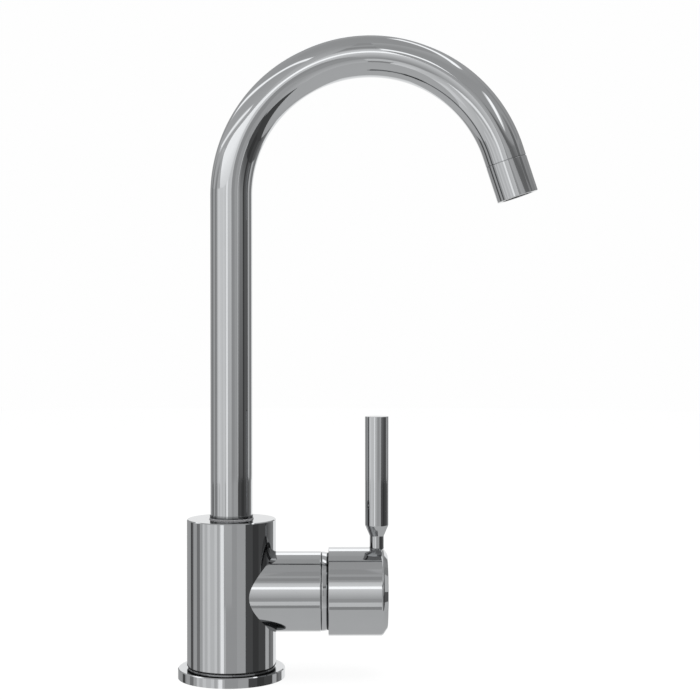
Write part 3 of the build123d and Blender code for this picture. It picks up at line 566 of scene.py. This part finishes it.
class TAP_OT_aerator(bpy.types.Operator):
    """Screwed sleeve at the spout's mouth"""
    bl_idname = "tap.aerator"
    bl_label = "Aerator"

    def execute(self, context):
        sizes = context.scene.tap_sizes
        bend_r, = in_mm(sizes, "bend_r")
        a = sizes.bend_angle
        mouth = np.array([bend_r * (1 - cos(a)), 0, BEND_Z + bend_r * sin(a)])
        axis = np.array([sin(a), 0, cos(a)])
        start, step, floor, end = 5.9, 15.4, 25.1, 26.6
        outer_r, thread_r, seat_r, lip_r = 11.8, 10.25, 9.8, 9.0
        sleeve = half_section(
            (start, thread_r), (start, outer_r, 0.15), (end, outer_r, 0.4), (end, lip_r, 0.3), (floor, lip_r),
            (floor, seat_r), (step, seat_r), (step, thread_r), closed=True, steps=4)
        piece("tap_aerator_sleeve", [turned(sleeve, mouth, axis, ACROSS)], "spout", chrome_plate(), "polished_chrome",
              "aerator_housing")
        return {"FINISHED"}


# --- Pieces that keep their CAD shape --------------------------------------------------------


class TAP_OT_inner(bpy.types.Operator):
    """Finishes for the cartridge, screws, seals and water ways, which keep their CAD shapes"""
    bl_idname = "tap.inner"
    bl_label = "Inner pieces"

    def execute(self, context):
        white = acetal("moulded_white_acetal", ("#dededa", "#d2d2ce"))
        finishes = {
            turned_brass(): ("cartridge_nut", "filter_nipple", "hose_ferrule", "lever_stem"),
            dark_mirror_plate(): ("tip_adapter",),
            bead_blast_steel(): ("spout_grub_screw", "handle_grub_screw", "pivot_pin", "aerator_screen"),
            nitrile_rubber(): ("deck_gasket", "cartridge_o_ring", "port_seals", "nipple_o_ring", "spout_o_rings",
                               "aerator_seal"),
            alumina(): ("fixed_disc", "moving_disc"),
            white: ("cartridge_base", "cartridge_housing", "disc_carrier", "turning_sleeve", "aerator_insert"),
            hose_plastic(): ("filtered_hose",),
            acetal("moulded_silver_plastic", ("#a3a5a7", "#999b9d")): ("screw_plug",),
        }
        for material, nodes in finishes.items():
            for name in nodes:
                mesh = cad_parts[name].data
                mesh.materials.clear()
                mesh.materials.append(material)
        return {"FINISHED"}


# --- Stage -----------------------------------------------------------------------------------

# Rows of studio cards: (low, high, left edge, then one card after another as (right edge, tone), or with an upper tone
# that it fades to, or with that and a strength). Left and right are degrees round the object from the camera's side
# towards +X, low and high are degrees above level. The body and flange mirror the row from BODY_LINE to RISER_LINE,
# the riser and the stick the row above it, and the bend everything else.
FLOOR_LINE, BODY_LINE, RISER_LINE, SHELF_LINE, CEILING_LINE = -41, -19, -7, 9, 66
CARD_ROWS = (
    # body row, left of the camera: a dark flag at the side, pale soft boxes with narrow gaps, then a strip light
    (BODY_LINE, RISER_LINE, -162, (-126, "#a0a0a0"), (-123, "#888888"), (-114, "#424242"), (-109, "#8c8c8c"),
     (-96, "#a8a8a8"), (-85, "#7a7a7a"), (-76, "#aaaaaa"), (-69.5, "#d0d0d0"), (-61, "#c0c0c0"),
     (-53, "#d3d3d3", "#d6d6d6"), (-41.5, "#c6c6c6", "#c8c8c8"), (-34.5, "#d3d3d3", "#d6d6d6"),
     (-28.5, "#b6b6b6"), (-25.5, "#c8c8c8"), (-17, "#ffffff", "#ffffff", 0.97)),
    # body row, right of the camera: a wide black flag, then grey up to the pale background
    (BODY_LINE, RISER_LINE, 38.5, (59, "#4c4c4c"), (77, "#3c3c3c"), (100, "#484848"), (114.5, "#5a5a5a"),
     (124.5, "#6c6c6c"), (141, "#7e7e7e"), (198, "#f0f0f0")),
    # riser row, left of the camera
    (RISER_LINE, SHELF_LINE, -162, (-126, "#9c9c9c"), (-113, "#808080"), (-97, "#a8a8a8", "#acacac"),
     (-83, "#8c8c8c"), (-74, "#c0c0c0", "#c4c4c4"), (-61, "#dcdcdc", "#e0e0e0"), (-53, "#d4d4d4", "#dadada"),
     (-41.5, "#cacaca", "#dcdcdc"), (-34.5, "#d6d6d6", "#e0e0e0"), (-25.5, "#cccccc", "#d6d6d6"),
     (-17, "#ffffff", "#ffffff", 0.97)),
    # riser row, right of the camera
    (RISER_LINE, SHELF_LINE, 3.5, (20, "#9a9a9a"), (37, "#a4a4a4", "#aaaaaa"), (40.5, "#c6c6c6", "#cacaca"),
     (49, "#545454", "#a8a8a8"), (69, "#5c5c5c", "#8c8c8c"), (79, "#404040", "#444444"),
     (107, "#5c5c5c", "#606060"), (120, "#bababa"), (148, "#848484"), (198, "#f0f0f0")),
    # in front: what the boss and the cap mirror, from the grey below the lens to a strip light across and above it
    (FLOOR_LINE, -33, -6, (3.5, "#8e8e8e")),
    (-33, -22, -6, (3.5, "#cccccc")),
    (-22, -13, -17, (-12, "#bababa"), (16, "#a0a0a0")),
    (-22, RISER_LINE, 16, (39, "#a9a9a9")),
    (-13, 12.5, -17, (3.5, "#a8a8a8", "#dcdcdc")),
    (-13, RISER_LINE, 3.5, (16, "#a0a0a0")),
    (12.5, 19, -6, (3.5, "#ffffff", "#ffffff", 1.25)),
    (19, 30, -6, (3.5, "#e2e2e2", "#cccccc")),
    (30, 36, -6, (3.5, "#b2b2b2", "#a0a0a0")),
    (36, 45, -6, (3.5, "#969696")),
    (45, 51.5, -6, (3.5, "#a8a8a8", "#aaaaaa")),
    (51.5, CEILING_LINE, -6, (3.5, "#9c9c9c", "#9a9a9a")),
    # behind: the pale background, with a bright window above it
    (SHELF_LINE, 26, 162, (198, "#f0f0f0")),
    (26, 41, 162, (198, "#ffffff", "#ffffff", 1.25)),
    (41, CEILING_LINE, 162, (198, "#b0b0b0", "#a8a8a8")),
    (SHELF_LINE, 38, 122, (162, "#8e8e8e", "#a4a4a4")),
    (38, CEILING_LINE, 122, (162, "#a4a4a4", "#b0b0b0")),
    (SHELF_LINE, 46, -162, (-130, "#9c9c9c", "#a8a8a8")),
    # the grey room, below and above the two rows
    (FLOOR_LINE, BODY_LINE, -162, (-85, "#b8b8b8", "#b4b4b4"), (-17, "#d2d2d2", "#c4c4c4")),
    (FLOOR_LINE, -22, -17, (-6, "#e0e0e0", "#c8c8c8")),
    (FLOOR_LINE, -22, 3.5, (39, "#c0c0c0", "#aaaaaa")),
    (FLOOR_LINE, BODY_LINE, 39, (162, "#b6b6b6", "#acacac"), (198, "#dcdcdc", "#f0f0f0")),
    (46, CEILING_LINE, -162, (-130, "#a8a8a8")),
    (SHELF_LINE, CEILING_LINE, -130, (-17, "#b8b8b8", "#a4a4a4")),
    (12.5, CEILING_LINE, -17, (-6, "#c8c8c8", "#9e9e9e")),
    (SHELF_LINE, 24, 3.5, (66, "#b4b4b4", "#9c9c9c")),
    (SHELF_LINE, 15, 66, (118, "#5c5c5c", "#606060")),
    (15, 24, 66, (118, "#606060", "#989898")),
    (SHELF_LINE, 24, 118, (122, "#a0a0a0", "#9c9c9c")),
    (24, 48, 3.5, (122, "#a2a2a2", "#a0a0a0")),
    (48, CEILING_LINE, 3.5, (122, "#a0a0a0", "#b0b0b0")),
    (-90, FLOOR_LINE, -180, (180, "#b6b6b6", "#b4b4b4")),
    (CEILING_LINE, 90, -180, (180, "#a2a2a2", "#a0a0a0")),
)

# Shaped cards that the bend mirrors as long streaks: (lower edge, upper edge, tones from one to the other, strength).
# Each edge is a few (azimuth, elevation) points with a smooth line through them.
SHAPED_CARDS = (
    # wide soft box on the left, and two curved strip lights above it
    (((-62, 9), (-6, 9)),
     ((-70, 21.5), (-55, 25.5), (-30, 23.5), (-6, 19)), ("#e0e0e0", "#fafafa", "#ffffff"), 1.1),
    (((-128, 29), (-95, 44), (-60, 51), (-32, 48.5), (-19, 42)),
     ((-128, 36), (-95, 52), (-60, 57.5), (-32, 54), (-19, 47)), ("#b0b0b0", "#ffffff", "#ffffff", "#a8a8a8"), 1.2),
    (((-112, 20), (-85, 27), (-60, 29.5), (-34, 28)),
     ((-112, 24.5), (-85, 31.5), (-60, 34.5), (-34, 31)), ("#c0c0c0", "#ffffff", "#b0b0b0"), 1.2),
    # two dark gaps that fade out above the riser row
    (((-97, 9), (-83, 9)), ((-86, 24), (-72, 24)), ("#8c8c8c", "#a0a0a0", "#c4c4c4"), 1),
    (((-126, 9), (-113, 9)), ((-120, 24), (-106, 24)), ("#808080", "#9a9a9a", "#bababa"), 1),
    # small lamp just right of the lens, and a slanting one farther round
    (((3.5, 25.5), (13, 20.5)),
     ((3.5, 35), (13, 29.5)), ("#b0b0b0", "#ffffff", "#ffffff", "#ffffff", "#b0b0b0"), 1.25),
    (((40, 22.5), (50, 27), (66, 40)),
     ((40, 27), (50, 38), (66, 43.5)), ("#b0b0b0", "#ffffff", "#ffffff", "#b0b0b0"), 1.25),
    # dark shelf edge below them, and dark corners to its right
    (((18, 15), (40, 16), (66, 20)), ((18, 21), (40, 21.5), (66, 23.5)), ("#707070", "#6a6a6a", "#909090"), 1),
    (((69, 22), (88, 22)), ((70, 36), (84, 36)), ("#6c6c6c", "#707070", "#989898"), 1),
    (((99, 26), (114, 26)), ((99, 46), (114, 46)), ("#909090", "#969696"), 1),
    # strip light high up on the right
    (((76, 57), (100, 57), (130, 60), (160, 60)),
     ((76, 60), (100, 66), (130, 71), (160, 72)), ("#b8b8b8", "#ffffff", "#ffffff", "#ffffff", "#b8b8b8"), 1.25),
    # foot of the black flag, cut off on a slant
    (((47, -40), (66, -36), (86, -27), (108, -18)), ((43, -18), (108, -17.5)), ("#4a4a4a", "#444444"), 1),
    # pale patch of floor in front on the left
    (((-55, -41), (-30, -41)), ((-55, -31), (-30, -31)), ("#e2e2e2", "#dadada"), 1),
)
# A pale card close by, low on the right: it shows only in the lower body.
SIDE_CARD = (((101, -36), (117, -36)), ((101, -26), (117, -26)), ("#b4b4b4", "#b4b4b4"), 1)

CARD_CENTRE = (0.07, 0, 0.18)                 # m, the middle of the object
ROW_DISTANCE, SHAPED_DISTANCE, SIDE_DISTANCE = 3.0, 2.9, 0.6
CARD_STEP = 3                                 # degrees of azimuth between the columns of a card's grid
CARD_HEIGHT = 25                              # points from a card's lower edge to its upper one
LATER_BOUNCE, LAST_BOUNCE = -0.6, 0.04        # a card's light falls by 0.6 a mirror bounce after the first, to 0.04
FLOOR_R = 3.0
FLOOR_GLOW, GLOW_SHARE = 1.06, 0.85           # bring the floor up to the white background and keep the shadow on it


def row_cards(low, high, left, *cards):
    """Each card of a row: its lower edge, upper edge, tones and strength."""
    for right, tone, *more in cards:
        upper = more[0] if more else tone
        strength = more[1] if len(more) > 1 else 1
        yield ((left, low), (right, low)), ((left, high), (right, high)), (tone, upper), strength
        left = right


def card_edge(points, columns):
    """A smooth line through (azimuth, elevation) points: the polynomial that meets them all, at even azimuths."""
    azimuth, elevation = np.array(points, float).T
    middle = azimuth.mean()
    at = np.linspace(azimuth[0], azimuth[-1], columns)
    height = np.polyval(np.polyfit(azimuth - middle, elevation, len(points) - 1), at - middle)
    return np.stack([at, height], axis=1)


def card_material():
    """Matt board lit evenly: it shines with its own tone, and dimmer to each later mirror bounce, so that the corners
    where chrome faces chrome stay dark. Share of its light = 1 - 0.6 * (mirror bounces - 1), and at least 0.04."""
    material = bpy.data.materials.get("matt_studio_card")
    if material is None:
        material, tree, _, output = new_material("matt_studio_card")
        shade = add(tree, "ShaderNodeAttribute", attribute_name="tone")
        path = add(tree, "ShaderNodeLightPath")
        share = add(tree, "ShaderNodeMath", {0: path.outputs["Glossy Depth"], 1: LATER_BOUNCE, 2: 1 - LATER_BOUNCE},
                    operation="MULTIPLY_ADD")
        share = add(tree, "ShaderNodeMath", {0: share.outputs[0], 1: LAST_BOUNCE}, operation="MAXIMUM")
        light = add(tree, "ShaderNodeEmission", {"Color": shade.outputs["Color"], "Strength": share.outputs[0]})
        tree.links.new(light.outputs[0], output.inputs[0])
    return material


def card(name, distance, low, high, tones, strength):
    """A curved card round the object, straight from its lower edge to its upper one in azimuth and elevation:
    point = centre + distance (sin a cos e, -cos a cos e, sin e). Its tones run evenly from edge to edge."""
    columns = max(4, int((low[-1][0] - low[0][0]) / CARD_STEP))
    low, high = card_edge(low, columns), card_edge(high, columns)
    share = np.linspace(0, 1, CARD_HEIGHT)
    a, e = np.moveaxis(np.radians(low + share[:, None, None] * (high - low)), -1, 0)
    points = distance * np.stack([np.sin(a) * np.cos(e), -np.cos(a) * np.cos(e), np.sin(e)], axis=-1) + CARD_CENTRE
    number = np.arange(CARD_HEIGHT * columns).reshape(CARD_HEIGHT, columns)
    quads = np.stack([number[:-1, :-1], number[:-1, 1:], number[1:, 1:], number[1:, :-1]], axis=-1)
    mesh = bpy.data.meshes.new(name)
    mesh.from_pydata(points.reshape(-1, 3), [], quads.reshape(-1, 4).tolist())
    light = np.array([linear(tone) for tone in tones]) * strength
    stops = np.linspace(0, 1, len(tones))
    tone = np.stack([np.interp(share, stops, channel) for channel in light.T], axis=1)
    colours = np.repeat(tone, columns, axis=0)
    mesh.attributes.new("tone", "FLOAT_COLOR", "POINT").data.foreach_set("color", colours.ravel())
    mesh.materials.append(card_material())
    made = bpy.data.objects.new(name, mesh)
    bpy.context.scene.collection.objects.link(made)
    made.visible_camera = made.visible_diffuse = made.visible_shadow = False


class TAP_OT_stage(bpy.types.Operator):
    """White floor and background, soft overhead light, the cards that the chrome mirrors, and the camera"""
    bl_idname = "tap.stage"
    bl_label = "Stage"

    def execute(self, context):
        scene, look = context.scene, context.scene.stage_look
        scene.view_settings.view_transform = "Standard"

        world = bpy.data.worlds.new("plain_studio")
        scene.world = world
        world.use_nodes = True
        tree = world.node_tree
        tree.nodes.clear()
        path = add(tree, "ShaderNodeLightPath")
        seen = add(tree, "ShaderNodeMath", {0: path.outputs["Is Camera Ray"], 1: path.outputs["Is Glossy Ray"]})
        seen = add(tree, "ShaderNodeMath", {0: seen.outputs[0], 1: path.outputs["Is Transmission Ray"]}, use_clamp=True)
        dim = add(tree, "ShaderNodeBackground", {"Color": linear("#ffffff"), "Strength": 0.75})
        white = add(tree, "ShaderNodeBackground", {"Color": linear("#fefefe"), "Strength": 1.0})
        both = add(tree, "ShaderNodeMixShader", {0: seen.outputs[0], 1: dim.outputs[0], 2: white.outputs[0]})
        sky = add(tree, "ShaderNodeOutputWorld", {"Surface": both.outputs[0]})
        sky.label = "plain studio"

        row_specs = [spec for row in CARD_ROWS for spec in row_cards(*row)]
        for number, spec in enumerate(row_specs):
            card(f"card_{number:02d}", ROW_DISTANCE, *spec)
        for number, spec in enumerate(SHAPED_CARDS):
            card(f"shaped_card_{number:02d}", SHAPED_DISTANCE, *spec)
        card("low_side_card", SIDE_DISTANCE, *SIDE_CARD)

        mesh = bpy.data.meshes.new("floor")
        spin = TURN[:-1:2]
        rim = FLOOR_R * np.stack([np.cos(spin), np.sin(spin), 0 * spin], axis=1)
        mesh.from_pydata(rim, [], [list(range(len(rim)))])
        material, tree, _, output = new_material("matt_white_floor")
        path = add(tree, "ShaderNodeLightPath")
        lit = add(tree, "ShaderNodeBsdfDiffuse", {"Color": (*look.floor, 1)})
        glow = add(tree, "ShaderNodeEmission", {"Color": (*look.floor, 1), "Strength": FLOOR_GLOW})
        mix = add(tree, "ShaderNodeMixShader", {0: GLOW_SHARE, 1: lit.outputs[0], 2: glow.outputs[0]})
        choice = add(tree, "ShaderNodeMixShader",
                     {0: path.outputs["Is Camera Ray"], 1: lit.outputs[0], 2: mix.outputs[0]})
        tree.links.new(choice.outputs[0], output.inputs[0])
        mesh.materials.append(material)
        floor = bpy.data.objects.new("floor", mesh)
        scene.collection.objects.link(floor)
        floor.visible_glossy = False

        lamp = bpy.data.lights.new("overhead", "AREA")
        lamp.shape, lamp.size, lamp.energy = "DISK", 1.6, 14.0
        overhead = bpy.data.objects.new("overhead", lamp)
        overhead.location = (0.1, -0.3, 1.6)
        overhead.visible_glossy = False
        scene.collection.objects.link(overhead)

        camera = bpy.data.objects.new("camera", bpy.data.cameras.new("camera"))
        camera.data.lens = look.lens
        camera.data.clip_start, camera.data.clip_end = 0.05, 20.0
        camera.location = look.camera
        camera.rotation_mode = "QUATERNION"
        ahead = Vector((sin(look.pan), cos(look.pan), -tan(look.tilt)))
        camera.rotation_quaternion = ahead.to_track_quat("-Z", "Y")
        scene.collection.objects.link(camera)
        scene.camera = camera
        return {"FINISHED"}


OPERATORS = (TAP_OT_stage, TAP_OT_body, TAP_OT_base, TAP_OT_cap, TAP_OT_stick, TAP_OT_spout, TAP_OT_aerator,
             TAP_OT_inner)


class TAP_PT_panel(bpy.types.Panel):
    """Lists the pieces and their settings"""
    bl_idname = "TAP_PT_panel"
    bl_label = "Kitchen tap"
    bl_space_type = "VIEW_3D"
    bl_region_type = "UI"
    bl_category = "Tap"

    def draw(self, context):
        for operator in OPERATORS:
            self.layout.operator(operator.bl_idname)
        for group in (context.scene.tap_sizes, context.scene.stage_look):
            for name in group.__annotations__:
                self.layout.prop(group, name)


CLASSES = (TapSizes, StageLook, *OPERATORS, TAP_PT_panel)


def register():
    for cls in CLASSES:
        bpy.utils.register_class(cls)
    bpy.types.Scene.tap_sizes = bpy.props.PointerProperty(type=TapSizes)
    bpy.types.Scene.stage_look = bpy.props.PointerProperty(type=StageLook)


def unregister():
    del bpy.types.Scene.stage_look
    del bpy.types.Scene.tap_sizes
    for cls in reversed(CLASSES):
        bpy.utils.unregister_class(cls)


def main():
    register()
    for operator in OPERATORS:
        group, name = operator.bl_idname.split(".")
        getattr(getattr(bpy.ops, group), name)()


if __name__ == "__main__":
    main()
